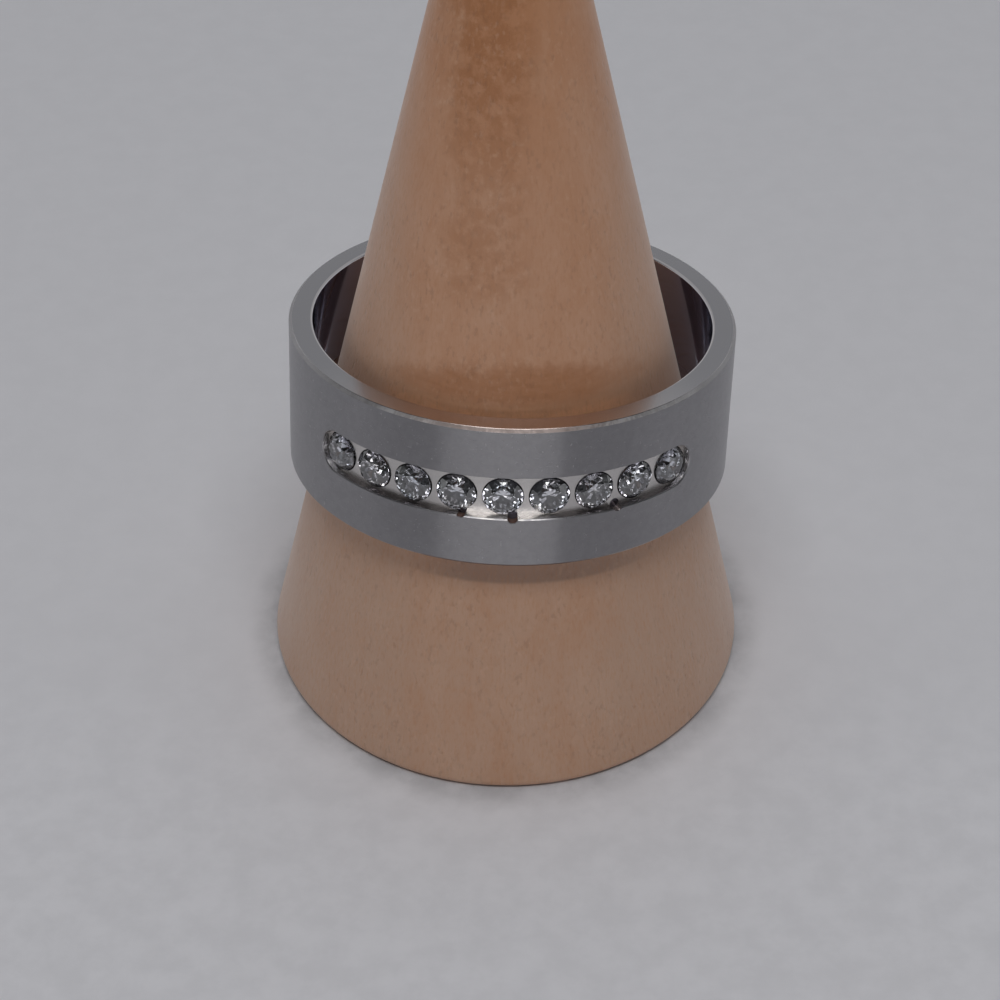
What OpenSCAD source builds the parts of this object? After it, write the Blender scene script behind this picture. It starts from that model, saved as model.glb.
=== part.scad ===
// Flat-walled titanium band with nine channel-set round stones, seated slightly tilted on a
// turned wooden cone stand. Millimetres, +Z up. The origin is the middle of the stand's foot.

/* [Band] */
// Outside diameter of the band
ring_outer_d = 23.1; // [22.8:0.1:23.6]
// Diameter of the bore
ring_bore_d = 20.6; // [20.2:0.1:20.8]
// Width of the band along its axis
band_w = 7.9; // [6.5:0.1:9]
// Width of the bevel on the two outer edges
outer_bevel = 0.16; // [0.05:0.01:0.3]
// Rounding of the two bore edges
bore_edge_r = 0.12; // [0.05:0.01:0.2]

/* [Channel] */
// Width of the milled channel
channel_w = 2.34; // [2.3:0.01:3]
// How far the channel's middle lies above the band's
channel_rise = 0.02; // [0:0.01:0.1]
// Depth of the channel's floor below the outer surface
channel_depth = 0.43; // [0.3:0.01:0.45]
// Diameter of the nicks in the lower wall
nick_d = 0.5; // [0.3:0.05:0.7]

/* [Stones] */
// Girdle diameter of a stone
stone_d = 1.98; // [1.8:0.01:2]
// Angle between neighbouring stones about the ring's axis
stone_pitch = 11.85; // [11.6:0.05:13]
// Turn of the whole row about the ring's axis, away from the front
row_turn = -2.1; // [-15:0.1:15]
// How far the row's middle lies below the band's
row_drop = 0.05; // [0:0.01:0.1]
// Radial gap between a stone and its seat
seat_gap = 0.05; // [0.03:0.01:0.06]
// Turn of each stone about its own axis after the one before it
stone_spin = 17; // [0:1:44]

/* [Cone stand] */
// Diameter of the stand's foot
cone_foot_d = 25.8; // [25:0.1:28]
// Height at which the straight flanks would meet
cone_apex_h = 56.8; // [50:0.1:65]
// Radius of the round tip
cone_tip_r = 1.6; // [1:0.1:2.5]
// Rounding of the foot's edge
cone_foot_r = 0.4; // [0.2:0.1:0.8]

/* [How the ring sits] */
// Tilt of the ring, front up
ring_tilt = 10; // [0:0.5:12]
// Lean of the ring, right side down
ring_lean = 1.3; // [0:0.1:4]
// Gap between the bore's edge and the cone where they would touch
rest_gap = 0.04; // [0.02:0.01:0.2]

/* [Hidden] */
stone_count = 9;
$fn = 96;

outer_r = ring_outer_d / 2;
bore_r = ring_bore_d / 2;
floor_r = outer_r - channel_depth;
channel_z = band_w / 2 + channel_rise;
row_z = band_w / 2 - row_drop;
front = -90;

// Heights in a stone, measured from the middle of its girdle along its own axis
girdle_h = 0.05;
crown_h = 0.16 * stone_d;
pavilion_h = 0.42 * stone_d;
table_r = 0.3 * stone_d;
star_share = 0.5;
lower_share = 0.78;
// The girdle's lower edge lies a hair outside the channel's floor
stone_rise = 0.02;
girdle_r = floor_r + stone_rise + girdle_h / 2;

// The seat: a short round wall, a cone under the pavilion and a hole to the bore
seat_d = stone_d + 2 * seat_gap;
seat_wall = 0.06;
seat_r = floor_r - seat_wall;
seat_hole_d = 0.7;
seat_hole_r = bore_r + 0.2;
past = 0.5;

// The channel's round ends are a hair narrower than its straight stretch, which runs a little
// way past their middles. Those lie just inside the end stones' own.
end_step = 0.015;
end_turn = 0.4;
end_inset = 0.25;

// The nicks: each one's angle about the ring's axis from the middle stone, and how far its middle
// lies inside the channel's lower wall
nicks = [[-10.3, 0.15], [2.6, 0.02], [29.6, 0.09]];
nick_under = 0.05;

function stone_angle(i) = front + row_turn + (i - (stone_count - 1) / 2) * stone_pitch;
function polar(r, a, z) = [r * cos(a), r * sin(a), z];

// Where the tilted bore edge rings the cone: the ring's plane cuts the cone in an ellipse, and the
// bore's lower edge is the circle round that ellipse
cone_slope = cone_foot_d / 2 / cone_apex_h;
up_x = -tan(ring_lean);
up_y = -tan(ring_tilt) / cos(ring_lean);
plane_slope = norm([up_x, up_y]);
skew = cone_slope * plane_slope;
axis_cut_r = (bore_r - rest_gap) * (1 - skew * skew) / sqrt(1 + plane_slope * plane_slope);
centre_shift = axis_cut_r * skew / (1 - skew * skew);
ring_x = plane_slope > 0 ? -centre_shift * up_x / plane_slope : 0;
ring_y = plane_slope > 0 ? -centre_shift * up_y / plane_slope : 0;
ring_z = cone_apex_h - axis_cut_r / cone_slope - centre_shift * plane_slope;

// Moves a piece from the ring's own frame, whose axis is Z, to where the ring sits on the cone
module seated() {
    translate([ring_x, ring_y, ring_z]) rotate([-ring_tilt, ring_lean, 0]) children();
}

// Turns +Z outward at an angle about the ring's axis, and +X down the band, at a height
module outward(angle, height) {
    translate([0, 0, height]) rotate([0, 90, angle]) children();
}

// Section of the band: a rectangle, bevelled at the outer corners and rounded at the bore's
module band_section() {
    inner_r = bore_r + bore_edge_r;
    bevel_r = outer_r - outer_bevel;
    polygon([[inner_r, 0], [bevel_r, 0], [outer_r, outer_bevel], [outer_r, band_w - outer_bevel],
             [bevel_r, band_w], [inner_r, band_w]]);
    translate([bore_r, bore_edge_r]) square([bore_edge_r, band_w - 2 * bore_edge_r]);
    for (z = [bore_edge_r, band_w - bore_edge_r]) translate([inner_r, z]) circle(bore_edge_r);
}

// What the mill takes out: an arc with round ends, down to the floor
module channel_cut() {
    first = stone_angle(0) + end_inset;
    last = stone_angle(stone_count - 1) - end_inset;
    difference() {
        union() {
            rotate([0, 0, first - end_turn]) rotate_extrude(angle = last - first + 2 * end_turn)
                translate([floor_r - past, channel_z - channel_w / 2])
                    square([channel_depth + 2 * past, channel_w]);
            for (angle = [first, last]) outward(angle, channel_z)
                translate([0, 0, floor_r - past]) cylinder(d = channel_w - 2 * end_step, h = channel_depth + 2 * past);
        }
        cylinder(r = floor_r, h = band_w);
    }
}

// What the drill and the seat cutter take out under one stone
module seat_cut() {
    translate([0, 0, seat_r]) cylinder(d = seat_d, h = channel_depth + past);
    translate([0, 0, seat_hole_r]) cylinder(d1 = seat_hole_d, d2 = seat_d, h = seat_r - seat_hole_r);
    translate([0, 0, bore_r - past]) cylinder(d = seat_hole_d, h = past + seat_hole_r - bore_r);
}

// A half-round nick in the lower wall of the channel
module nick_cut(angle, inset) {
    outward(front + row_turn + angle, channel_z)
        translate([channel_w / 2 - inset, 0, floor_r - nick_under])
            cylinder(d = nick_d, h = nick_under + channel_depth + past);
}

// The band with its channel, seats and nicks
module band() {
    color([0.45, 0.45, 0.46]) seated() difference() {
        rotate_extrude() band_section();
        channel_cut();
        for (i = [0 : stone_count - 1]) outward(stone_angle(i), row_z) seat_cut();
        for (nick = nicks) nick_cut(nick[0], nick[1]);
    }
}

// A round brilliant about +Z, with its table up and the middle of its girdle at the origin
module brilliant() {
    r = stone_d / 2;
    n = 8;
    turn = 360 / n;
    half = turn / 2;
    top = girdle_h / 2;
    star_r = table_r * cos(half) + star_share * (r - table_r * cos(half));
    star_z = top + crown_h * (1 - (star_r * cos(half) - table_r) / (r - table_r));
    lower_r = r * (1 - lower_share);
    lower_z = -top - pavilion_h * (1 - lower_r * cos(half) / r);
    points = concat(
        [for (k = [0 : n - 1]) polar(table_r, k * turn, top + crown_h)],
        [for (k = [0 : n - 1]) polar(star_r, k * turn + half, star_z)],
        [for (k = [0 : 2 * n - 1]) polar(r, k * half, top)],
        [for (k = [0 : 2 * n - 1]) polar(r, k * half, -top)],
        [for (k = [0 : n - 1]) polar(lower_r, k * turn + half, lower_z)],
        [[0, 0, -top - pavilion_h]]
    );
    star = n;
    upper = 2 * n;
    under = 4 * n;
    lower = 6 * n;
    culet = 7 * n;
    faces = concat(
        [[for (k = [n - 1 : -1 : 0]) k]],
        [for (k = [0 : n - 1]) [k, (k + 1) % n, star + k]],
        [for (k = [0 : n - 1]) [k, star + k, upper + 2 * k, star + (k + n - 1) % n]],
        [for (k = [0 : n - 1]) [star + k, upper + 2 * k + 1, upper + 2 * k]],
        [for (k = [0 : n - 1]) [star + k, upper + (2 * k + 2) % (2 * n), upper + 2 * k + 1]],
        [for (k = [0 : 2 * n - 1]) [upper + k, upper + (k + 1) % (2 * n), under + (k + 1) % (2 * n), under + k]],
        [for (k = [0 : n - 1]) [under + 2 * k, under + 2 * k + 1, lower + k]],
        [for (k = [0 : n - 1]) [under + 2 * k + 1, under + (2 * k + 2) % (2 * n), lower + k]],
        [for (k = [0 : n - 1]) [under + 2 * k, lower + k, culet, lower + (k + n - 1) % n]]
    );
    polyhedron(points, faces);
}

// One stone in its seat, counted from the left end of the row
module stone(i) {
    color([0.8, 0.84, 0.88]) seated() outward(stone_angle(i), row_z) translate([0, 0, girdle_r])
        rotate([0, 0, i * stone_spin]) brilliant();
}

// The turned cone: straight flanks, a round tip and a softened foot
module cone_stand() {
    foot_r = cone_foot_d / 2;
    flank = atan(cone_slope);
    tip_z = cone_apex_h - cone_tip_r / sin(flank);
    meet_r = cone_tip_r * cos(flank);
    meet_z = tip_z + cone_tip_r * sin(flank);
    // Centre of the foot's rounding, which touches the ground and the flank
    round_x = (cone_apex_h - cone_foot_r) * cone_slope - cone_foot_r / cos(flank);
    round_meet_x = round_x + cone_foot_r * cos(flank);
    round_meet_z = cone_foot_r + cone_foot_r * sin(flank);
    color([0.72, 0.55, 0.42]) rotate_extrude() intersection() {
        union() {
            polygon([[0, 0], [round_x, 0], [round_x, cone_foot_r], [round_meet_x, round_meet_z],
                     [meet_r, meet_z], [0, meet_z]]);
            translate([round_x, cone_foot_r]) circle(cone_foot_r);
            translate([0, tip_z]) circle(cone_tip_r);
        }
        square([foot_r, cone_apex_h]);
    }
}

band();
for (i = [0 : stone_count - 1]) stone(i);
cone_stand();
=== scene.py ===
"""Builds a titanium ring with nine channel-set stones on its wooden cone stand, and a plain stage."""

import math
from functools import partial

import bmesh
import bpy
from bpy.props import FloatProperty, FloatVectorProperty, IntProperty, PointerProperty
from mathutils import Euler, Matrix, Vector


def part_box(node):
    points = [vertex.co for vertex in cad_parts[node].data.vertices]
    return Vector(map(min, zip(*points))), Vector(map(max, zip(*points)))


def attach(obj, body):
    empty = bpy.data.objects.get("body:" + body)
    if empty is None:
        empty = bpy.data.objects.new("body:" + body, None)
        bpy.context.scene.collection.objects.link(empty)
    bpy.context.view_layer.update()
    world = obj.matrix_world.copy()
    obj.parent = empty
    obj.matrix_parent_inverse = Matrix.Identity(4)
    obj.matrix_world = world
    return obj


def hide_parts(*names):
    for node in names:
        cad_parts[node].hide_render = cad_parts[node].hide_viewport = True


bl_info = {
    "name": "Ring on Cone Stand",
    "version": (1, 0, 0),
    "blender": (4, 5, 0),
    "location": "View3D > Sidebar > Ring",
    "description": "Adds a channel-set titanium ring, its stones, its wooden cone stand and a stage",
    "category": "Add Mesh",
}

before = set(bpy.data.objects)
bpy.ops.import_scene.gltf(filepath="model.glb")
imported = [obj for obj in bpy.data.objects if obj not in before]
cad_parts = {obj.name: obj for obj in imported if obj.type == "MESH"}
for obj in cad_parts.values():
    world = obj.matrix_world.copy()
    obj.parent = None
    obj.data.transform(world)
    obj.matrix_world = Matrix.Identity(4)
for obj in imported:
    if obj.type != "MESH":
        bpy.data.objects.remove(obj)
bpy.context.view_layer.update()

MM = 0.001
TINY = 1e-6
STONES = 9
GIRDLE_H = 0.05 * MM


def length(name, description, millimetres):
    """A length property whose default is given in millimetres."""
    return FloatProperty(
        name=name, description=description, default=millimetres * MM, unit="LENGTH", precision=5
    )


def angle(name, description, degrees):
    """An angle property whose default is given in degrees."""
    return FloatProperty(
        name=name, description=description, default=math.radians(degrees), subtype="ANGLE"
    )


def tone(name, description, default):
    """A colour property."""
    return FloatVectorProperty(
        name=name, description=description, default=default, subtype="COLOR", size=3, min=0, max=1
    )


class RingSizes(bpy.types.PropertyGroup):
    """Sizes of the band, its channel and the way it sits"""

    outer_d: length("Outside diameter", "Across the outside of the band", 23.1)
    bore_d: length("Bore", "Across the hole for the finger", 20.6)
    width: length("Width", "Of the band along its axis", 7.9)
    outer_bevel: length("Outer bevel", "Width of the bevel on the two outer edges", 0.16)
    bore_edge: length("Bore edge", "Rounding of the two bore edges", 0.12)
    channel_w: length("Channel width", "Between the channel's walls", 2.34)
    channel_rise: length("Channel rise", "Of the channel's middle above the band's", 0.02)
    channel_depth: length("Channel depth", "From the outer surface to the channel's floor", 0.43)
    lip: length("Lip", "Broken edge along the channel", 0.05)
    nick_d: length("Nick", "Width of a nick in the channel's lower wall", 0.5)
    tilt: angle("Tilt", "How far the front is tipped up", 10)
    lean: angle("Lean", "How far the right side is tipped down", 1.3)
    steps: IntProperty(
        name="Steps", description="Facets round the band, a multiple of 18", default=360, min=90
    )


class StoneSizes(bpy.types.PropertyGroup):
    """Sizes of the stones and of their row"""

    girdle_d: length("Diameter", "Across a stone's girdle", 1.98)
    rise: length("Rise", "Of the girdle's lower edge above the channel's floor", 0.02)
    pitch: angle("Pitch", "Between neighbouring stones, about the ring's axis", 11.85)
    row_turn: angle("Row turn", "Of the whole row, away from the front", -2.1)
    row_drop: length("Row drop", "Of the row's middle below the band's", 0.05)
    end_inset: angle("End inset", "From an end stone's middle to that of the channel's round end", 0.25)
    seat_gap: length("Seat gap", "Between a stone and its seat", 0.05)
    spin: angle("Spin", "Turn of each stone after the one before it", 17)


class ConeSizes(bpy.types.PropertyGroup):
    """Sizes of the wooden cone"""

    foot_d: length("Foot", "Across the foot, where the straight flanks would meet the ground", 25.8)
    apex_h: length("Apex height", "At which the straight flanks would meet", 56.8)
    tip_r: length("Tip", "Radius of the round tip", 1.6)
    foot_round: length("Foot edge", "Rounding of the foot's edge", 0.4)


class StageSizes(bpy.types.PropertyGroup):
    """The camera's place and lens"""

    aim_x: length("Aim to the side", "Of the point that the camera looks at", -0.366)
    aim_z: length("Aim height", "Of the point that the camera looks at", 8.897)
    distance: length("Distance", "From the camera to that point", 144.54)
    elevation: angle("Elevation", "Of the camera above the horizon", 42.198)
    roll: angle("Roll", "Of the camera about its line of sight", 0.369)
    lens: FloatProperty(
        name="Lens", description="Focal length in millimetres, on a sensor 36 mm wide", default=96.37
    )


class Finishes(bpy.types.PropertyGroup):
    """Colours of the materials"""

    titanium: tone("Titanium", "Brushed metal", (0.375, 0.365, 0.38))
    titanium_dark: tone("Titanium lines", "Darker brushed lines and cloudy spots", (0.30, 0.295, 0.305))
    milled: tone("Milled titanium", "In the channel, and small bright specks", (0.66, 0.635, 0.62))
    rim: tone("Rims", "Polished rims", (0.42, 0.41, 0.43))
    # rubbed: a painted reflection, brighter rims at the front and on the bore's edges
    rubbed: tone("Rubbed rims", "Brighter rims at the front, and the bore's edges", (0.76, 0.72, 0.72))
    # The front bevels carry painted shade, and the bevels beside the front a painted highlight
    bevel: tone("Bevels", "Polished parts of the front bevels", (0.27, 0.225, 0.21))
    bevel_painted_highlight: tone("Near bevels", "Bevels on both sides of the front", (0.70, 0.68, 0.69))
    side_bevel: tone("Side bevels", "Bevels at the sides and at the back", (0.48, 0.465, 0.475))
    bore: tone("Bore", "Polished metal inside", (0.53, 0.55, 0.68))
    # wall: painted shade on the channel's walls, away from the front
    wall: tone("Channel walls", "Dull walls of the channel, away from the front", (0.52, 0.48, 0.48))
    nick: tone("Nicks", "Soiled nicks in the channel's lower wall", (0.24, 0.15, 0.125))
    # seat: painted shade in the drilled holes
    seat: tone("Seats", "Drilled seats under the stones", (0.13, 0.12, 0.14))
    stone: tone("Stone", "Clear stone", (1.0, 0.97, 1.0))
    stone_cool: tone("Cool stone", "Faint blue clouds in the stones", (0.84, 0.90, 1.0))
    # girdle: painted shade toward the stone's edge
    girdle: tone("Girdle", "Darker stone close to the girdle", (0.20, 0.19, 0.24))
    wood: tone("Wood", "Bare wood between foot and top", (0.66, 0.36, 0.22))
    wood_low: tone("Low wood", "Greyer wood at the foot", (0.62, 0.385, 0.265))
    wood_high: tone("High wood", "More orange wood near the top, and streaks", (0.58, 0.27, 0.13))
    # wood_painted_sheen: painted sheen at the cone's sides
    wood_painted_sheen: tone("Side wood", "Greyer wood at the sides", (0.56, 0.38, 0.28))
    # wood_painted_light: painted light behind the ring's upper rim
    wood_painted_light: tone("Edge wood", "Paler wood right behind the ring's upper rim", (0.92, 0.48, 0.26))
    mark: tone("Mark", "Shade under the ring", (0.28, 0.18, 0.14))
    stain: tone("Stain", "Dark streak and rubbed patch", (0.40, 0.15, 0.045))
    fleck: tone("Flecks", "Short dark flecks", (0.24, 0.12, 0.07))
    cream: tone("Cream", "Pale streaks and flecks", (0.78, 0.52, 0.37))
    floor: tone("Floor", "Plain paper", (0.77, 0.765, 0.80))


class RingSettings(bpy.types.PropertyGroup):
    """All that a user may change"""

    ring: PointerProperty(type=RingSizes)
    stones: PointerProperty(type=StoneSizes)
    cone: PointerProperty(type=ConeSizes)
    stage: PointerProperty(type=StageSizes)
    finishes: PointerProperty(type=Finishes)


# Ways of working that the pieces share


def settings():
    """The scene's ring settings."""
    return bpy.context.scene.ring_settings


def clear_selection():
    """Leaves edit mode and selects nothing, so that an operator acts only on what is added next."""
    if bpy.context.mode != "OBJECT":
        bpy.ops.object.mode_set(mode="OBJECT")
    bpy.ops.object.select_all(action="DESELECT")


def make_active(piece):
    """Selects one object alone and makes it active."""
    clear_selection()
    piece.select_set(True)
    bpy.context.view_layer.objects.active = piece


def edit(kind):
    """Goes into edit mode with nothing selected, picking vertices, edges or faces."""
    bpy.ops.object.mode_set(mode="EDIT")
    bpy.ops.mesh.select_mode(type=kind)
    bpy.ops.mesh.select_all(action="DESELECT")


def pick(piece, kind, wanted):
    """Selects in edit mode the vertices, edges or faces that are wanted, and no others."""
    bpy.ops.mesh.select_mode(type=kind)
    bpy.ops.mesh.select_all(action="DESELECT")
    form = bmesh.from_edit_mesh(piece.data)
    for element in {"VERT": form.verts, "EDGE": form.edges, "FACE": form.faces}[kind]:
        element.select_set(wanted(element))
    form.select_flush_mode()
    bmesh.update_edit_mesh(piece.data)


def close_to(a, b, by=TINY):
    """True if two lengths are the same."""
    return abs(a - b) < by


def apply_modifier(piece, kind, **values):
    """Adds a modifier, sets it and applies it."""
    make_active(piece)
    modifier = piece.modifiers.new(kind.title(), kind)
    for name, value in values.items():
        setattr(modifier, name, value)
    bpy.ops.object.modifier_apply(modifier=modifier.name)


def cut(piece, cutter):
    """Takes a cutter out of a piece and removes the cutter."""
    apply_modifier(piece, "BOOLEAN", object=cutter, operation="DIFFERENCE", solver="EXACT")
    bpy.data.objects.remove(cutter)


def apply_place(piece):
    """Moves an object's place, turn and scale into its mesh."""
    make_active(piece)
    bpy.ops.object.transform_apply(location=True, rotation=True, scale=True)


def named(name):
    """Gives the active object and its mesh a plain name."""
    piece = bpy.context.object
    piece.name = name
    piece.data.name = name
    return piece


def finish_piece(piece, material, slot, *nodes):
    """Gives a piece its material, hangs it on the root body and hides the parts that it stands for."""
    piece.data.materials.clear()
    piece.data.materials.append(material)
    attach(piece, "root")
    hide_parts(*nodes)


# Where the ring sits


def ring_seat():
    """Turns and moves a thing from the ring's own frame, whose axis is Z, to where the ring sits."""
    ring = settings().ring
    low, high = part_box("band")
    turn = Euler((-ring.tilt, ring.lean, 0)).to_matrix().to_4x4()
    return Matrix.Translation((low + high) / 2) @ turn


def unrolled_r():
    """Radius at which the band's unrolled length is its true one: the channel's floor."""
    ring = settings().ring
    return ring.outer_d / 2 - ring.channel_depth


def stone_angle(i):
    """Angle of a stone about the ring's axis, away from the front, counted from the left."""
    stones = settings().stones
    return stones.row_turn + (i - (STONES - 1) / 2) * stones.pitch


# The band: a bar that is milled and drilled flat, then bent round


def add_bar():
    """Adds the flat bar. Its length is along X, outward is -Y, and the ring's axis is along Z."""
    ring = settings().ring
    flat_r = unrolled_r()
    outside, inside = flat_r - ring.outer_d / 2, flat_r - ring.bore_d / 2
    clear_selection()
    bpy.ops.mesh.primitive_cube_add(size=1, location=(0, (outside + inside) / 2, 0))
    bar = named("titanium_band")
    bar.scale = (2 * math.pi * flat_r, inside - outside, ring.width)
    apply_place(bar)
    edit("EDGE")

    def lengthwise(edge, y=None):
        """True for an edge along the bar, and if y is given, only where it lies there."""
        a, b = (v.co for v in edge.verts)
        return not close_to(a.x, b.x) and (y is None or (close_to(a.y, y) and close_to(b.y, y)))

    for y, offset, segments in ((outside, ring.outer_bevel, 1), (inside, ring.bore_edge, 5)):
        pick(bar, "EDGE", partial(lengthwise, y=y))
        bpy.ops.mesh.bevel(offset=offset, segments=segments, affect="EDGES")
    # It is cut across in two goes, because one go makes at most a hundred cuts
    first_cuts = 18
    for cuts in (first_cuts, ring.steps // first_cuts):
        pick(bar, "EDGE", lengthwise)
        bpy.ops.mesh.subdivide(number_cuts=cuts - 1)
    bpy.ops.object.mode_set(mode="OBJECT")
    return bar


def add_round(name, radius, x, z, y, vertices=48):
    """Adds a flat disc facing along Y, from which a cutter is extruded, and goes into edit mode."""
    clear_selection()
    bpy.ops.mesh.primitive_circle_add(
        vertices=vertices, radius=radius, fill_type="NGON",
        location=(x, y, z), rotation=(math.pi / 2, 0, 0),
    )
    disc = named(name)
    apply_place(disc)
    edit("FACE")
    bpy.ops.mesh.select_all(action="SELECT")
    return disc


def extrude(distance, along=1.0, across=1.0):
    """Extrudes the selected face along Y, and scales its new end along X and across it."""
    bpy.ops.mesh.extrude_region_move(TRANSFORM_OT_translate={"value": (0, distance, 0)})
    bpy.ops.transform.resize(value=(along, 1, across))


def close_cutter(cutter):
    """Turns a cutter's faces outward and leaves edit mode."""
    bpy.ops.mesh.select_all(action="SELECT")
    bpy.ops.mesh.normals_make_consistent(inside=False)
    bpy.ops.object.mode_set(mode="OBJECT")
    return cutter


def add_channel_cutter():
    """Adds the long cutter with round ends that mills the channel."""
    ring = settings().ring
    flat_r = unrolled_r()
    vertices = 64
    middle = (stone_angle(0) + stone_angle(STONES - 1)) / 2 * flat_r
    half = ((stone_angle(STONES - 1) - stone_angle(0)) / 2 - settings().stones.end_inset) * flat_r
    cutter = add_round("channel_cutter", ring.channel_w / 2, 0, ring.channel_rise, 0, vertices)
    bpy.ops.transform.rotate(
        value=math.pi / vertices, orient_axis="Y", center_override=(0, 0, ring.channel_rise)
    )
    # Its two halves move apart to the channel's ends
    for side in (-1, 1):
        pick(cutter, "VERT", lambda vertex: vertex.co.x * side > 0)
        bpy.ops.transform.translate(value=(side * half, 0, 0))
    bpy.ops.mesh.select_all(action="SELECT")
    bpy.ops.transform.translate(value=(middle, 0, 0))
    # It flares from a little below the outer surface, which breaks the channel's edge
    extrude(ring.lip - ring.channel_depth)
    wider = 4 * ring.lip
    extrude(-2 * ring.lip, 1 + wider / (2 * half + ring.channel_w), 1 + wider / ring.channel_w)
    extrude(-2 * ring.channel_depth)
    return close_cutter(cutter)


def add_seat_cutter(i):
    """Adds the stepped cutter for one seat: a short round wall, a cone and a hole to the bore."""
    ring, stones = settings().ring, settings().stones
    flat_r = unrolled_r()
    seat_r = stones.girdle_d / 2 + stones.seat_gap
    hole_r = 0.35 * MM
    wall = 0.06 * MM
    hole_depth = 0.2 * MM
    hole_top = flat_r - (ring.bore_d / 2 + hole_depth)
    cutter = add_round(
        "seat_cutter", seat_r, stone_angle(i) * flat_r, -stones.row_drop, -ring.channel_depth
    )
    extrude(ring.channel_depth + wall)
    extrude(hole_top - wall, hole_r / seat_r, hole_r / seat_r)
    extrude(ring.outer_d / 2 - ring.bore_d / 2)
    return close_cutter(cutter)


# The nicks: each one's angle from the middle stone in degrees, and how far its middle lies inside
# the channel's lower wall in millimetres
NICKS = ((-10.3, 0.15), (2.6, 0.02), (29.6, 0.09))


def add_nick_cutter(degrees, inset):
    """Adds the cutter for a half-round nick in the channel's lower wall."""
    ring, stones = settings().ring, settings().stones
    x = (stones.row_turn + math.radians(degrees)) * unrolled_r()
    z = ring.channel_rise - ring.channel_w / 2 + inset * MM
    under_floor = 0.05 * MM
    cutter = add_round("nick_cutter", ring.nick_d / 2, x, z, under_floor, 24)
    extrude(-3 * ring.channel_depth)
    return close_cutter(cutter)


def joined(cutters):
    """Joins cutters that stand apart into one."""
    make_active(cutters[0])
    for cutter in cutters:
        cutter.select_set(True)
    bpy.ops.object.join()
    return bpy.context.object


def divide_channel(bar):
    """Cuts the bar across at each facet of the bend along the channel, so that its floor bends too."""
    ring = settings().ring
    flat_r = unrolled_r()
    step = 2 * math.pi / ring.steps
    reach = ring.channel_w / 2 / flat_r
    first = math.floor((stone_angle(0) - reach) / step)
    last = math.ceil((stone_angle(STONES - 1) + reach) / step)
    make_active(bar)
    edit("FACE")
    for k in range(first, last + 1):
        bpy.ops.mesh.select_all(action="SELECT")
        bpy.ops.mesh.bisect(plane_co=(k * step * flat_r, 0, 0), plane_no=(1, 0, 0), threshold=1e-7)
    bpy.ops.object.mode_set(mode="OBJECT")


def bend_round(bar):
    """Bends the bar into a ring about Z, with its front at -Y, and closes the joint."""
    flat_r = unrolled_r()
    half = math.pi * flat_r
    make_active(bar)
    edit("FACE")
    pick(bar, "FACE", lambda face: all(close_to(abs(v.co.x), half) for v in face.verts))
    bpy.ops.mesh.delete(type="FACE")
    bpy.ops.object.mode_set(mode="OBJECT")
    apply_modifier(bar, "SIMPLE_DEFORM", deform_method="BEND", deform_axis="Z", angle=2 * math.pi)
    bar.location.y = -flat_r
    apply_place(bar)
    edit("VERT")
    bpy.ops.mesh.select_all(action="SELECT")
    bpy.ops.mesh.remove_doubles(threshold=TINY)
    bpy.ops.mesh.normals_make_consistent(inside=False)
    bpy.ops.object.mode_set(mode="OBJECT")


def round_normals(band):
    """Gives each turned face the exact normals of its surface, so that no facet of the bend shows."""
    mesh, ring = band.data, settings().ring
    round_r, round_top = ring.bore_d / 2 + ring.bore_edge, ring.width / 2 - ring.bore_edge
    # Faces count as turned if their normals lean at most this far out of the axis' plane, and as
    # slanted if they lean more than this from both the axis and the radius
    turned_within, slanted = 0.02, 0.01
    normals = [corner.vector.copy() for corner in mesh.corner_normals]
    for face in mesh.polygons:
        out = Vector((face.center.x, face.center.y, 0)).normalized()
        if abs(face.normal.dot(Vector((-out.y, out.x, 0)))) > turned_within:
            continue
        outward, upward = face.normal.dot(out), face.normal.z
        rounded = min(abs(outward), abs(upward)) > slanted and outward < 0
        for corner in face.loop_indices:
            point = mesh.vertices[mesh.loops[corner].vertex_index].co
            here = Vector((point.x, point.y, 0))
            if rounded:
                outward, upward = here.length - round_r, point.z - math.copysign(round_top, point.z)
            normals[corner] = (here.normalized() * outward + Vector((0, 0, upward))).normalized()
    mesh.normals_split_custom_set(normals)


class RING_OT_add_band(bpy.types.Operator):
    """Mills and drills a flat bar, bends it round and seats it on the cone"""

    bl_idname = "ring.add_band"
    bl_label = "Band"
    bl_options = {"REGISTER", "UNDO"}

    def execute(self, context):
        bar = add_bar()
        cut(bar, add_channel_cutter())
        cut(bar, joined([add_seat_cutter(i) for i in range(STONES)]))
        cut(bar, joined([add_nick_cutter(*nick) for nick in NICKS]))
        divide_channel(bar)
        bend_round(bar)
        bpy.ops.object.shade_smooth_by_angle(angle=math.radians(35))
        round_normals(bar)
        bar.matrix_world = ring_seat()
        apply_place(bar)
        finish_piece(bar, titanium_material(), "titanium", "band")
        return {"FINISHED"}


# The stones


def girdle_place(i):
    """Turns and moves a stone, whose axis is Z and whose girdle is at the origin, into its seat."""
    stones = settings().stones
    turn = Matrix.Rotation(stone_angle(i), 4, "Z") @ Matrix.Rotation(math.pi / 2, 4, "X")
    spin = Matrix.Rotation(i * stones.spin, 4, "Z")
    out = Matrix.Translation((0, -stones.row_drop, unrolled_r() + stones.rise + GIRDLE_H / 2))
    return ring_seat() @ turn @ out @ spin


def cut_facets(count, first, tilt, point):
    """Cuts facets round a stone with planes, given their tilt from its axis and a place on the first."""
    for k in range(count):
        around = first + k * 2 * math.pi / count
        out = Vector((math.cos(around), math.sin(around), 0))
        normal = out * math.sin(tilt) + Vector((0, 0, math.cos(tilt)))
        place = out * point[0] + Vector((0, 0, point[1]))
        bpy.ops.mesh.select_all(action="SELECT")
        bpy.ops.mesh.bisect(
            plane_co=place, plane_no=normal, use_fill=True, clear_outer=True, threshold=1e-8
        )


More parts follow.
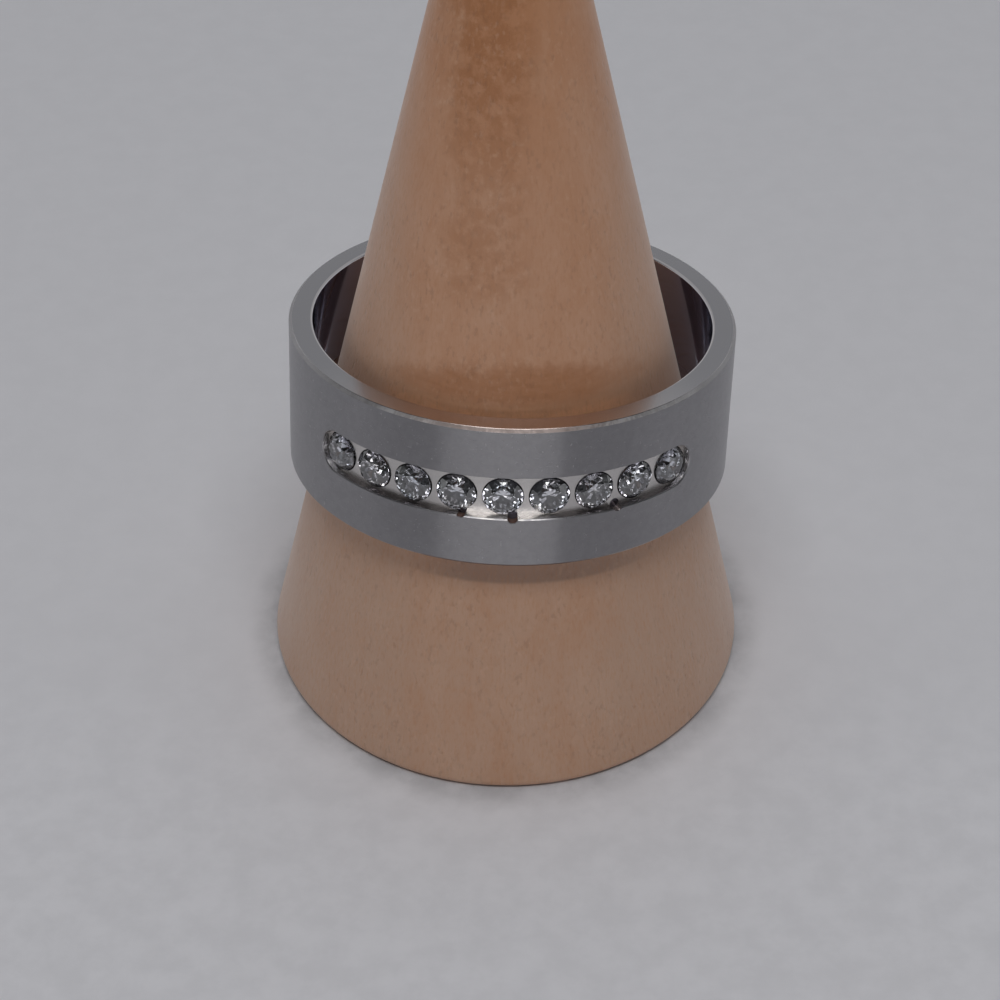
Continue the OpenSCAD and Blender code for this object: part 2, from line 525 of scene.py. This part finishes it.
def add_brilliant():
    """Adds one round brilliant and cuts its facets from a short cylinder."""
    radius = settings().stones.girdle_d / 2
    crown = 0.32 * radius
    pavilion = 0.84 * radius
    table = 0.6 * radius
    eighth = math.pi / 4
    top, bottom = GIRDLE_H / 2, -GIRDLE_H / 2
    clear_selection()
    bpy.ops.mesh.primitive_cylinder_add(
        vertices=96, radius=radius, depth=crown + pavilion + GIRDLE_H,
        location=(0, 0, (crown - pavilion) / 2),
    )
    stone = named("stone")
    apply_place(stone)
    edit("FACE")
    # Eight kites, from the girdle's top to the table's corners
    edge_r = radius * 0.995
    kite = math.atan2(crown, edge_r - table)
    cut_facets(8, 0, kite, (edge_r, top))
    # Sixteen upper girdle facets, a little steeper
    steep = kite + math.radians(5.5)
    near_edge, off_girdle = radius * 0.985, 0.004 * MM
    cut_facets(16, eighth / 4, steep, (near_edge, top + off_girdle))
    # Eight star facets round the table
    star = kite * 0.62
    table_mid = table * math.cos(eighth / 2)
    cut_facets(8, eighth / 2, star, (table_mid, top + crown))
    # Eight pavilion mains and sixteen lower girdle facets
    main_tilt = math.atan2(pavilion, edge_r)
    cut_facets(8, 0, math.pi - main_tilt, (edge_r, bottom))
    lower_tilt = main_tilt + math.radians(1.6)
    cut_facets(16, eighth / 4, math.pi - lower_tilt, (near_edge, bottom - off_girdle))
    bpy.ops.object.mode_set(mode="OBJECT")
    return stone


class RING_OT_add_stones(bpy.types.Operator):
    """Cuts one round brilliant, copies it along the row and seats each copy"""

    bl_idname = "ring.add_stones"
    bl_label = "Stones"
    bl_options = {"REGISTER", "UNDO"}

    def execute(self, context):
        pattern = add_brilliant()
        material = stone_material()
        for i in range(STONES):
            make_active(pattern)
            bpy.ops.object.duplicate()
            stone = named(f"brilliant_{i + 1}")
            stone.matrix_world = girdle_place(i)
            apply_place(stone)
            finish_piece(stone, material, "clear_stone", f"stone_{i + 1}")
        bpy.data.objects.remove(pattern)
        return {"FINISHED"}


# The cone stand


class RING_OT_add_cone(bpy.types.Operator):
    """Turns the wooden cone with its softened foot and round tip"""

    bl_idname = "ring.add_cone"
    bl_label = "Cone stand"
    bl_options = {"REGISTER", "UNDO"}

    def execute(self, context):
        cone = settings().cone
        flank = math.atan2(cone.foot_d / 2, cone.apex_h)
        tip_z = cone.apex_h - cone.tip_r / math.sin(flank)
        meet_r = cone.tip_r * math.cos(flank)
        meet_z = tip_z + cone.tip_r * math.sin(flank)
        clear_selection()
        bpy.ops.mesh.primitive_cone_add(
            vertices=192, radius1=cone.foot_d / 2, radius2=meet_r, depth=meet_z,
            location=(0, 0, meet_z / 2),
        )
        stand = named("wooden_cone")
        apply_place(stand)
        edit("EDGE")
        pick(stand, "EDGE", lambda edge: all(close_to(v.co.z, 0) for v in edge.verts))
        reach = cone.foot_round / math.tan((math.pi / 2 - flank) / 2)
        bpy.ops.mesh.bevel(offset=reach, segments=8, affect="EDGES", clamp_overlap=False)
        # The round tip, a ring at a time
        pick(stand, "FACE", lambda face: all(close_to(v.co.z, meet_z) for v in face.verts))
        rings = 10
        radius, height = meet_r, meet_z
        for k in range(1, rings):
            rise = flank + (math.pi / 2 - flank) * k / rings
            new_r, new_z = cone.tip_r * math.cos(rise), tip_z + cone.tip_r * math.sin(rise)
            bpy.ops.mesh.extrude_region_move(TRANSFORM_OT_translate={"value": (0, 0, new_z - height)})
            bpy.ops.transform.resize(value=(new_r / radius, new_r / radius, 1))
            radius, height = new_r, new_z
        bpy.ops.mesh.extrude_region_move(
            TRANSFORM_OT_translate={"value": (0, 0, tip_z + cone.tip_r - height)}
        )
        bpy.ops.mesh.merge(type="CENTER")
        bpy.ops.object.mode_set(mode="OBJECT")
        bpy.ops.object.shade_smooth_by_angle(angle=math.radians(40))
        finish_piece(stand, wood_material(), "wood", "cone_stand")
        return {"FINISHED"}


# Materials


def new_material(name):
    """A material whose nodes are one Principled shader and an output, with its node tree and shader."""
    material = bpy.data.materials.new(name)
    material.use_nodes = True
    tree = material.node_tree
    return material, tree, tree.nodes["Principled BSDF"]


def wire(tree, socket, value):
    """Links an input to an output, or gives it a value."""
    if isinstance(value, bpy.types.NodeSocket):
        tree.links.new(value, socket)
    else:
        socket.default_value = value


def maths(tree, operation, *values):
    """Works out a number from other numbers."""
    made = tree.nodes.new("ShaderNodeMath")
    made.operation = operation
    for socket, value in zip(made.inputs, values):
        wire(tree, socket, value)
    return made.outputs[0]


def product(tree, first, *others):
    """Multiplies numbers."""
    for other in others:
        first = maths(tree, "MULTIPLY", first, other)
    return first


def vectors(tree, operation, *values):
    """Works out a vector from other vectors, or a number for a dot product or a length."""
    made = tree.nodes.new("ShaderNodeVectorMath")
    made.operation = operation
    sockets = (made.inputs[0], made.inputs["Scale"]) if operation == "SCALE" else made.inputs
    for socket, value in zip(sockets, values):
        wire(tree, socket, value)
    return made.outputs["Value" if operation in {"DOT_PRODUCT", "LENGTH"} else "Vector"]


def spread(tree, value, low, high, start=0.0, end=1.0):
    """Goes smoothly from start to end while a value goes from low to high."""
    made = tree.nodes.new("ShaderNodeMapRange")
    made.interpolation_type = "SMOOTHSTEP"
    names = ("Value", "From Min", "From Max", "To Min", "To Max")
    for name, part in zip(names, (value, low, high, start, end)):
        wire(tree, made.inputs[name], part)
    return made.outputs["Result"]


def spread_angle(tree, value, low, high, start=0.0, end=1.0):
    """Goes smoothly from start to end while an angle goes from low to high, both in degrees."""
    return spread(tree, value, math.radians(low), math.radians(high), start, end)


def grain(tree, place, fineness, detail=2.0, roughness=0.5, offset=0.0):
    """Noise with so many cells per millimetre along each direction."""
    made = tree.nodes.new("ShaderNodeTexNoise")
    stretched = vectors(tree, "MULTIPLY", place, fineness)
    wire(tree, made.inputs["Vector"], vectors(tree, "ADD", stretched, (offset, offset, offset)))
    for name, value in (("Scale", 1.0), ("Detail", detail), ("Roughness", roughness)):
        made.inputs[name].default_value = value
    return made.outputs["Fac"]


def blend(tree, share_of_second, first, second):
    """Mixes two colours. They are the node's seventh and eighth inputs, and the mix its third output."""
    made = tree.nodes.new("ShaderNodeMix")
    made.data_type = "RGBA"
    wire(tree, made.inputs[0], share_of_second)
    for socket, value in ((made.inputs[6], first), (made.inputs[7], second)):
        wire(tree, socket, value if isinstance(value, bpy.types.NodeSocket) else (*value, 1))
    return made.outputs[2]


def bump(tree, shader, height, depth):
    """Raises the surface by a height from 0 to 1, times a depth."""
    made = tree.nodes.new("ShaderNodeBump")
    made.inputs["Distance"].default_value = depth
    wire(tree, made.inputs["Height"], height)
    wire(tree, shader.inputs["Normal"], made.outputs["Normal"])


def millimetres(tree, seat=None):
    """The place on the object in millimetres, in the object's own frame or in the ring's."""
    place = tree.nodes.new("ShaderNodeTexCoord").outputs["Object"]
    if seat is not None:
        made = tree.nodes.new("ShaderNodeMapping")
        made.vector_type = "TEXTURE"
        wire(tree, made.inputs["Vector"], place)
        made.inputs["Location"].default_value = seat.translation
        made.inputs["Rotation"].default_value = seat.to_euler()
        place = made.outputs["Vector"]
    return vectors(tree, "SCALE", place, 1 / MM)


def parts(tree, vector):
    """The three parts of a vector."""
    made = tree.nodes.new("ShaderNodeSeparateXYZ")
    wire(tree, made.inputs[0], vector)
    return made.outputs


def joined_parts(tree, *values):
    """A vector made of three numbers."""
    made = tree.nodes.new("ShaderNodeCombineXYZ")
    for socket, value in zip(made.inputs, values):
        wire(tree, socket, value)
    return made.outputs[0]


def angle_from_front(tree, x, y):
    """The angle about the ring's axis at a place, away from the front."""
    return maths(tree, "ARCTAN2", x, product(tree, y, -1))


def turn_out(tree, seat, x, y, around):
    """The direction away from the ring's axis at a place, or the one round it, in the object's frame."""
    rotate = tree.nodes.new("ShaderNodeVectorRotate")
    rotate.rotation_type = "EULER_XYZ"
    rotate.inputs["Rotation"].default_value = seat.to_euler()
    first, second = (product(tree, y, -1), x) if around else (x, y)
    wire(tree, rotate.inputs["Vector"], joined_parts(tree, first, second, 0.0))
    return rotate.outputs[0]


def titanium_material():
    """Satin metal, brushed round the band outside and polished in the bore, with painted reflection on
    the rims and painted highlights and shade on its bevels, channel and seats.
    """
    finishes, ring, seat = settings().finishes, settings().ring, ring_seat()
    material, tree, shader = new_material("titanium")
    place = millimetres(tree, seat)
    x, y, z = parts(tree, place)
    radius = vectors(tree, "LENGTH", joined_parts(tree, x, y, 0.0))
    # Brushed lines run round the ring on its outer surface and on its rims
    across = maths(tree, "ADD", z, radius)
    round_and_across = joined_parts(tree, x, y, across)
    lines = grain(tree, round_and_across, (0.35, 0.35, 16), detail=4, roughness=0.6)
    fine = grain(tree, round_and_across, (2.5, 2.5, 30), detail=2)
    cloud = grain(tree, place, (0.7, 0.7, 0.7), detail=3, offset=7)
    specks = spread(tree, grain(tree, place, (8, 8, 8), detail=1, offset=3), 0.7, 0.8)
    mottle = grain(tree, place, (2.5, 2.5, 2.5), detail=4, roughness=0.7, offset=13)
    mottle = spread(tree, mottle, 0.35, 0.65)
    # Where on the band a place lies, from its radius and height in millimetres
    floor_r, outer_r, bore_r = (r / MM for r in (unrolled_r(), ring.outer_d / 2, ring.bore_d / 2))
    half_w, bevel_w = ring.width / 2 / MM, ring.outer_bevel / MM
    edge_r, lip = ring.bore_edge / MM, ring.lip / MM
    height = maths(tree, "ABSOLUTE", z)
    near_channel = spread(tree, height, 1.5, 1.7, 1, 0)
    lip_low, lip_high = outer_r - lip - 0.015, outer_r - lip
    in_lip = spread(tree, radius, lip_low, lip_high)
    under_lip = spread(tree, radius, lip_low, lip_high, 1, 0)
    in_channel = product(tree, under_lip, near_channel)
    in_bore = spread(tree, radius, bore_r + 0.02, bore_r + edge_r, 1, 0)
    on_rim = spread(tree, height, half_w - 0.04, half_w - 0.005)
    on_bore_edge = product(
        tree, spread(tree, height, half_w - edge_r - 0.01, half_w - edge_r + 0.02),
        spread(tree, radius, bore_r + edge_r + 0.01, bore_r + edge_r + 0.03, 1, 0),
    )
    on_edge = product(
        tree, spread(tree, height, half_w - bevel_w - 0.01, half_w - bevel_w + 0.01),
        spread(tree, radius, outer_r - bevel_w - 0.02, outer_r - bevel_w),
    )
    colour = blend(tree, product(tree, lines, 0.3), finishes.titanium, finishes.titanium_dark)
    for spots, share_of_dark in ((cloud, 0.25), (mottle, 0.45)):
        colour = blend(tree, product(tree, spots, share_of_dark), colour, finishes.titanium_dark)
    colour = blend(tree, product(tree, specks, 0.35), colour, finishes.milled)
    # The channel is milled brighter and burnished along its lower wall, and the bore is polished
    burnished = tuple(min(1, 1.35 * part) for part in finishes.milled)
    milled = blend(tree, spread(tree, z, -0.6, -1.1), finishes.milled, burnished)
    colour = blend(tree, in_channel, colour, milled)
    colour = blend(tree, in_bore, colour, finishes.bore)
    colour = blend(tree, on_rim, colour, finishes.rim)
    # Painted reflection: the rims are brighter at the front, and the bore's edges all round
    from_front = angle_from_front(tree, x, y)
    off_front = maths(tree, "ABSOLUTE", from_front)
    at_front = spread_angle(tree, off_front, 12, 62, 1, 0)
    rubbed = product(tree, at_front, on_rim)
    rubbed = maths(tree, "MAXIMUM", rubbed, product(tree, on_bore_edge, 0.75))
    colour = blend(tree, rubbed, colour, finishes.rubbed)
    # The outer bevels' tone follows the angle from the front: painted shade dims their highlight at the
    # front, where they are also worn in places, and a painted highlight makes them brightest beside it
    worn_away = grain(tree, round_and_across, (1.3, 1.3, 5), detail=4, roughness=0.75, offset=31)
    worn_away = spread(tree, worn_away, 0.42, 0.58)
    beside = product(
        tree, spread_angle(tree, from_front, -38, -24), spread_angle(tree, from_front, 48, 56, 1, 0)
    )
    polished = blend(tree, beside, finishes.side_bevel, finishes.bevel_painted_highlight)
    polished = blend(tree, spread_angle(tree, off_front, 12, 34, 1, 0), polished, finishes.bevel)
    dulled = tuple(0.6 * part for part in finishes.bevel)
    bevel = blend(tree, product(tree, worn_away, at_front, 0.6), polished, dulled)
    colour = blend(tree, on_edge, colour, bevel)
    # Painted highlight: the broken edge of the channel is bright in places near the middle of the row
    left_of_front = math.radians(1.5)
    from_middle = maths(tree, "ABSOLUTE", maths(tree, "ADD", from_front, left_of_front))
    normal = tree.nodes.new("ShaderNodeTexCoord").outputs["Normal"]
    out = vectors(tree, "NORMALIZE", turn_out(tree, seat, x, y, False))
    facing = maths(tree, "ABSOLUTE", vectors(tree, "DOT_PRODUCT", normal, out))
    steep = spread(tree, facing, 0.86, 0.97, 1, 0)
    on_lip = product(tree, steep, in_lip, near_channel)
    near_middle = spread_angle(tree, from_middle, 7, 13, 1, 0)
    bright = product(tree, near_middle, maths(tree, "SUBTRACT", 1, worn_away))
    colour = blend(tree, on_lip, colour, blend(tree, bright, finishes.titanium, finishes.milled))
    # Painted shade: the channel's walls are darker on both sides of the middle, but not at its ends
    aside = product(
        tree, spread_angle(tree, from_middle, 9, 15), spread_angle(tree, from_middle, 45, 49, 1, 0)
    )
    wall_painted_shade = product(tree, steep, in_channel, spread(tree, in_bore, 0, 1, 1, 0), aside)
    colour = blend(tree, wall_painted_shade, colour, finishes.wall)
    # The nicks are dark brown and less metallic, the right one less than the others
    low_wall = (ring.channel_w / 2 - ring.channel_rise) / MM
    under_wall = spread(tree, z, -low_wall - 0.01, -low_wall - 0.04)
    in_nick = product(tree, under_wall, in_channel, spread(tree, x, 1.5, 3.5, 1, 0.4))
    colour = blend(tree, in_nick, colour, finishes.nick)
    # Painted shade: the seats are dark
    in_seat = product(
        tree, spread(tree, radius, floor_r - 0.04, floor_r - 0.02, 1, 0),
        spread(tree, radius, bore_r + 0.01, bore_r + 0.05), near_channel,
    )
    colour = blend(tree, in_seat, colour, finishes.seat)
    wire(tree, shader.inputs["Base Color"], colour)
    wire(tree, shader.inputs["Metallic"], spread(tree, in_nick, 0, 1, 1, 0.3))
    rough = spread(tree, fine, 0.2, 0.8, 0.27, 0.33)
    rough = maths(tree, "ADD", rough, product(tree, specks, -0.1))
    for where, times in ((in_channel, 0.75), (in_bore, 0.3), (on_rim, 0.5), (on_edge, 1.6)):
        rough = product(tree, rough, spread(tree, where, 0, 1, 1.0, times))
    wire(tree, shader.inputs["Roughness"], rough)
    wire(tree, shader.inputs["Anisotropic"], spread(tree, on_edge, 0, 1, 1, 0))
    # A highlight spreads across the brushed lines
    across_lines = vectors(tree, "CROSS_PRODUCT", turn_out(tree, seat, x, y, True), normal)
    wire(tree, shader.inputs["Tangent"], across_lines)
    brushed = product(tree, maths(tree, "ADD", product(tree, lines, 0.7), fine), 0.05)
    bump(tree, shader, brushed, 0.012 * MM)
    return material


def stone_material():
    """Clear polished stone, with painted shade darker toward the girdle, faint cool clouds and a few
    smudges.
    """
    finishes, stones = settings().finishes, settings().stones
    material, tree, shader = new_material("clear_stone")
    place = millimetres(tree, ring_seat())
    x, y, z = parts(tree, place)
    # How far a place lies from the axis of its stone
    turn = maths(tree, "SUBTRACT", angle_from_front(tree, x, y), stones.row_turn)
    nearest = maths(tree, "ROUND", maths(tree, "DIVIDE", turn, stones.pitch))
    nearest = product(tree, nearest, stones.pitch)
    along = product(tree, maths(tree, "SUBTRACT", turn, nearest), unrolled_r() / MM)
    across = maths(tree, "ADD", z, stones.row_drop / MM)
    out = vectors(tree, "LENGTH", joined_parts(tree, along, across, 0.0))
    stone_r = stones.girdle_d / 2 / MM
    cloud = grain(tree, place, (0.9, 0.9, 0.9), detail=2, offset=41)
    smudge = grain(tree, place, (1.8, 1.8, 1.8), detail=3, offset=43)
    colour = blend(tree, spread(tree, cloud, 0.35, 0.65), finishes.stone_cool, finishes.stone)
    # Painted shade: the stone is darker toward its girdle
    girdle_painted_shade = spread(tree, out, 0.74 * stone_r, 0.95 * stone_r, 0, 0.85)
    colour = blend(tree, girdle_painted_shade, colour, finishes.girdle)
    wire(tree, shader.inputs["Base Color"], colour)
    wire(tree, shader.inputs["Roughness"], spread(tree, smudge, 0.45, 0.7, 0.02, 0.1))
    refraction = 2.42
    shader.inputs["IOR"].default_value = refraction
    shader.inputs["Transmission Weight"].default_value = 1
    return material


def wood_material():
    """Bare turned wood with upright grain, slow streaks, short flecks and a rubbed patch, with painted
    sheen at the sides, painted light behind the ring's upper rim and a painted shadow under its lower
    rim.
    """
    finishes = settings().finishes
    material, tree, shader = new_material("turned_wood")
    place = millimetres(tree)
    x, y, z = parts(tree, place)
    wander = grain(tree, place, (0.5, 0.5, 0.25), detail=4, roughness=0.6, offset=11)
    streaks = grain(tree, place, (0.9, 0.9, 0.05), detail=4, roughness=0.55)
    fibres = grain(tree, place, (9, 9, 0.7), detail=3, roughness=0.6, offset=5)
    ripples = grain(tree, place, (1.1, 1.1, 3.2), detail=3, roughness=0.6, offset=2)
    # The wood is greyer at the foot and more orange higher up
    colour = blend(tree, spread(tree, z, 6, 24), finishes.wood_low, finishes.wood)
    from_middle = maths(tree, "ABSOLUTE", maths(tree, "ADD", x, product(tree, wander, 2.0)))
    orange = product(tree, spread(tree, z, 30, 42), spread(tree, from_middle, 1.5, 4, 1, 0.7))
    colour = blend(tree, orange, colour, finishes.wood_high)
    colour = blend(tree, spread(tree, streaks, 0.42, 0.72, 0, 0.2), colour, finishes.wood_high)
    colour = blend(tree, spread(tree, streaks, 0.5, 0.25, 0, 0.12), colour, finishes.cream)
    colour = blend(tree, spread(tree, wander, 0.45, 0.7, 0, 0.25), colour, finishes.wood_high)
    colour = blend(tree, spread(tree, wander, 0.5, 0.3, 0, 0.15), colour, finishes.cream)
    # Painted sheen: the sides are greyer
    aside = maths(tree, "ABSOLUTE", x)
    colour = blend(tree, spread(tree, aside, 3.5, 6.5, 0, 0.4), colour, finishes.wood_painted_sheen)
    # A dark mottled streak down the front, strongest near the top
    reach = maths(tree, "ADD", spread(tree, z, 26.5, 28.5, 0, 0.5), spread(tree, z, 33, 39, 0, 0.5))
    mottle = grain(tree, place, (1.3, 1.3, 1.3), detail=4, roughness=0.65, offset=29)
    streak = product(
        tree, spread(tree, from_middle, 2.6, 1.0), reach, spread(tree, y, 0.5, -0.5),
        spread(tree, mottle, 0.35, 0.6, 0.2, 1.1),
    )
    colour = blend(tree, product(tree, streak, 0.6), colour, finishes.stain)
    # A darker patch in front. A plane that falls toward the back cuts it off above, and the
    # ring's upper rim below
    fall_to_back, fall_to_right = 0.705, -0.0225
    edge = maths(tree, "ADD", product(tree, y, fall_to_back), z)
    edge = maths(tree, "ADD", edge, product(tree, x, fall_to_right))
    edge = maths(tree, "ADD", edge, product(tree, mottle, 2.0))
    along = parts(tree, millimetres(tree, ring_seat()))[2]
    patch = product(
        tree, spread(tree, edge, 20.6, 19.4), spread(tree, z, 14, 18),
        spread(tree, ripples, 0.25, 0.7, 0.75, 1), spread(tree, along, 3.7, 4.9, 0.15, 0.68),
        spread(tree, aside, 3, 7, 1, 0.4),
    )
    colour = blend(tree, patch, colour, finishes.stain)
    # Painted light: right behind the rim the wood is paler
    behind = product(
        tree, spread(tree, along, 4.35, 3.7, 0, 0.8), spread(tree, along, 0, 2),
        spread(tree, mottle, 0.35, 0.6, 0.75, 1.1), spread(tree, y, -4.5, -7),
    )
    colour = blend(tree, behind, colour, finishes.wood_painted_light)
    # A narrow painted shadow under the ring's lower rim
    off_shade = maths(tree, "ABSOLUTE", maths(tree, "SUBTRACT", x, 1.2))
    mark = product(
        tree, spread(tree, along, -5.85, -5.6), spread(tree, along, 0, -2),
        spread(tree, off_shade, 7, 3), spread(tree, y, -5, -7),
    )
    colour = blend(tree, product(tree, mark, 0.5), colour, finishes.mark)
    # Fibres, and short dark and pale flecks
    colour = blend(tree, spread(tree, fibres, 0.45, 0.75, 0, 0.35), colour, finishes.wood_high)
    fuzzy = spread(tree, grain(tree, place, (0.3, 0.3, 0.2), detail=2, offset=37), 0.35, 0.6, 0.35, 1)
    dark = spread(tree, grain(tree, place, (4.2, 4.2, 2.0), detail=3, offset=17), 0.54, 0.72)
    dark = product(tree, dark, fuzzy)
    colour = blend(tree, product(tree, dark, 0.2), colour, finishes.fleck)
    pale = spread(tree, grain(tree, place, (3.8, 3.8, 2.4), detail=3, offset=23), 0.54, 0.72)
    pale = product(tree, pale, fuzzy)
    colour = blend(tree, product(tree, pale, 0.2), colour, finishes.cream)
    wire(tree, shader.inputs["Base Color"], colour)
    wire(tree, shader.inputs["Roughness"], spread(tree, fibres, 0.2, 0.8, 0.5, 0.68))
    shader.inputs["Sheen Weight"].default_value = 0.3
    shader.inputs["Sheen Roughness"].default_value = 0.4
    height = maths(tree, "SUBTRACT", product(tree, fibres, 0.6), dark)
    bump(tree, shader, height, 0.012 * MM)
    return material


def floor_material():
    """Plain pale paper with a faint mottle, painted light toward the front and a painted shadow round
    the foot.
    """
    finishes = settings().finishes
    material, tree, shader = new_material("paper")
    place = millimetres(tree)
    mottle = grain(tree, place, (0.5, 0.5, 0.5), detail=4, roughness=0.6)
    shade, light = (tuple(part * by for part in finishes.floor) for by in (0.96, 1.08))
    # Painted light: the paper is brighter toward the front
    colour = blend(tree, spread(tree, parts(tree, place)[1], 0, -17), finishes.floor, light)
    colour = blend(tree, spread(tree, mottle, 0.3, 0.7, 0, 0.6), colour, shade)
    # Painted shadow: the paper is darker close to the foot
    foot_r = settings().cone.foot_d / 2 / MM
    close = spread(tree, vectors(tree, "LENGTH", place), foot_r - 0.3, foot_r + 1.8, 0.45, 0)
    close = product(tree, close, spread(tree, mottle, 0.3, 0.7, 0.6, 1.2))
    colour = blend(tree, close, colour, tuple(part * 0.4 for part in finishes.floor))
    wire(tree, shader.inputs["Base Color"], colour)
    shader.inputs["Roughness"].default_value = 0.9
    return material


# The stage


def add_camera():
    """Adds the camera at the photograph's view."""
    stage = settings().stage
    right = Vector((1, 0, 0))
    back = Vector((0, -math.cos(stage.elevation), math.sin(stage.elevation)))
    up = back.cross(right)
    turned_right = right * math.cos(stage.roll) + up * math.sin(stage.roll)
    turned_up = up * math.cos(stage.roll) - right * math.sin(stage.roll)
    turn = Matrix((turned_right, turned_up, back)).transposed()
    aim = Vector((stage.aim_x, 0, stage.aim_z))
    clear_selection()
    bpy.ops.object.camera_add(location=aim + back * stage.distance, rotation=turn.to_euler())
    camera = bpy.context.object
    camera.name = "camera"
    camera.data.lens = stage.lens
    camera.data.sensor_width = 36
    camera.data.clip_start = 1 * MM
    camera.data.clip_end = 10
    bpy.context.scene.camera = camera


def add_softbox(name, width, height, place, aim, strength):
    """Adds a rectangular light that faces a point. Its strength is its power per area."""
    place, aim = Vector(place), Vector(aim)
    turn = (aim - place).to_track_quat("-Z", "Y").to_euler()
    clear_selection()
    bpy.ops.object.light_add(type="AREA", location=place, rotation=turn)
    lamp = bpy.context.object
    lamp.name = name
    lamp.data.shape = "RECTANGLE"
    lamp.data.size = width
    lamp.data.size_y = height
    lamp.data.energy = strength * width * height
    return lamp


def set_world():
    """A soft room: bright overhead, mid at the sides and behind, and dim in front."""
    world = bpy.data.worlds.new("studio")
    bpy.context.scene.world = world
    world.use_nodes = True
    tree = world.node_tree
    x, y, z = parts(tree, tree.nodes.new("ShaderNodeTexCoord").outputs["Generated"])
    # Angle away from the front, in radians
    aside = angle_from_front(tree, maths(tree, "ABSOLUTE", x), y)
    dim, side, low_side, overhead = 0.04, 0.38, 0.58, 0.65
    level = spread_angle(tree, aside, 95, 125, dim, side)
    # The sides are bright near the horizon too
    low = product(tree, spread(tree, z, 0.15, 0.3, 1, 0), spread_angle(tree, aside, 50, 80, 0, low_side))
    level = maths(tree, "MAXIMUM", level, low)
    rise = spread(tree, z, 0.82, 0.95)
    level = product(tree, level, maths(tree, "SUBTRACT", 1, rise))
    level = maths(tree, "ADD", level, product(tree, rise, overhead))
    background = tree.nodes["Background"]
    wire(tree, background.inputs["Strength"], level)
    background.inputs["Color"].default_value = (0.96, 0.98, 1.0, 1)


class RING_OT_add_stage(bpy.types.Operator):
    """Adds the paper floor, the soft lights and the camera"""

    bl_idname = "ring.add_stage"
    bl_label = "Stage"
    bl_options = {"REGISTER", "UNDO"}

    def execute(self, context):
        clear_selection()
        bpy.ops.mesh.primitive_grid_add(x_subdivisions=2, y_subdivisions=2, size=4, location=(0, 0, 0))
        floor = named("floor")
        floor.data.materials.append(floor_material())
        set_world()
        add_softbox("top_softbox", 0.36, 0.13, (0, -0.2, 0.58), (0, 0, 0.01), 19.5)
        add_softbox("front_strip", 0.55, 0.07, (-0.05, -0.5, 0.065), (-0.05, 0, 0.01), 5.3)
        add_camera()
        context.scene.view_settings.view_transform = "Standard"
        return {"FINISHED"}


class RING_PT_sidebar(bpy.types.Panel):
    """Lists the ring's pieces in the sidebar"""

    bl_idname = "RING_PT_sidebar"
    bl_label = "Ring on Cone Stand"
    bl_space_type = "VIEW_3D"
    bl_region_type = "UI"
    bl_category = "Ring"

    def draw(self, context):
        column = self.layout.column()
        for operator in OPERATORS:
            column.operator(operator.bl_idname)
        groups = context.scene.ring_settings
        for group in (groups.ring, groups.stones, groups.cone, groups.finishes, groups.stage):
            box = column.box()
            for name in group.__annotations__:
                box.prop(group, name)


OPERATORS = (RING_OT_add_band, RING_OT_add_stones, RING_OT_add_cone, RING_OT_add_stage)
GROUPS = (RingSizes, StoneSizes, ConeSizes, StageSizes, Finishes, RingSettings)


def register():
    """Registers the classes and the scene's settings."""
    for cls in (*GROUPS, *OPERATORS, RING_PT_sidebar):
        bpy.utils.register_class(cls)
    bpy.types.Scene.ring_settings = PointerProperty(type=RingSettings)


def unregister():
    """Undoes register."""
    del bpy.types.Scene.ring_settings
    for cls in reversed((*GROUPS, *OPERATORS, RING_PT_sidebar)):
        bpy.utils.unregister_class(cls)


def main():
    """Makes every piece and the stage."""
    register()
    bpy.ops.ring.add_band()
    bpy.ops.ring.add_stones()
    bpy.ops.ring.add_cone()
    bpy.ops.ring.add_stage()


if __name__ == "__main__":
    main()
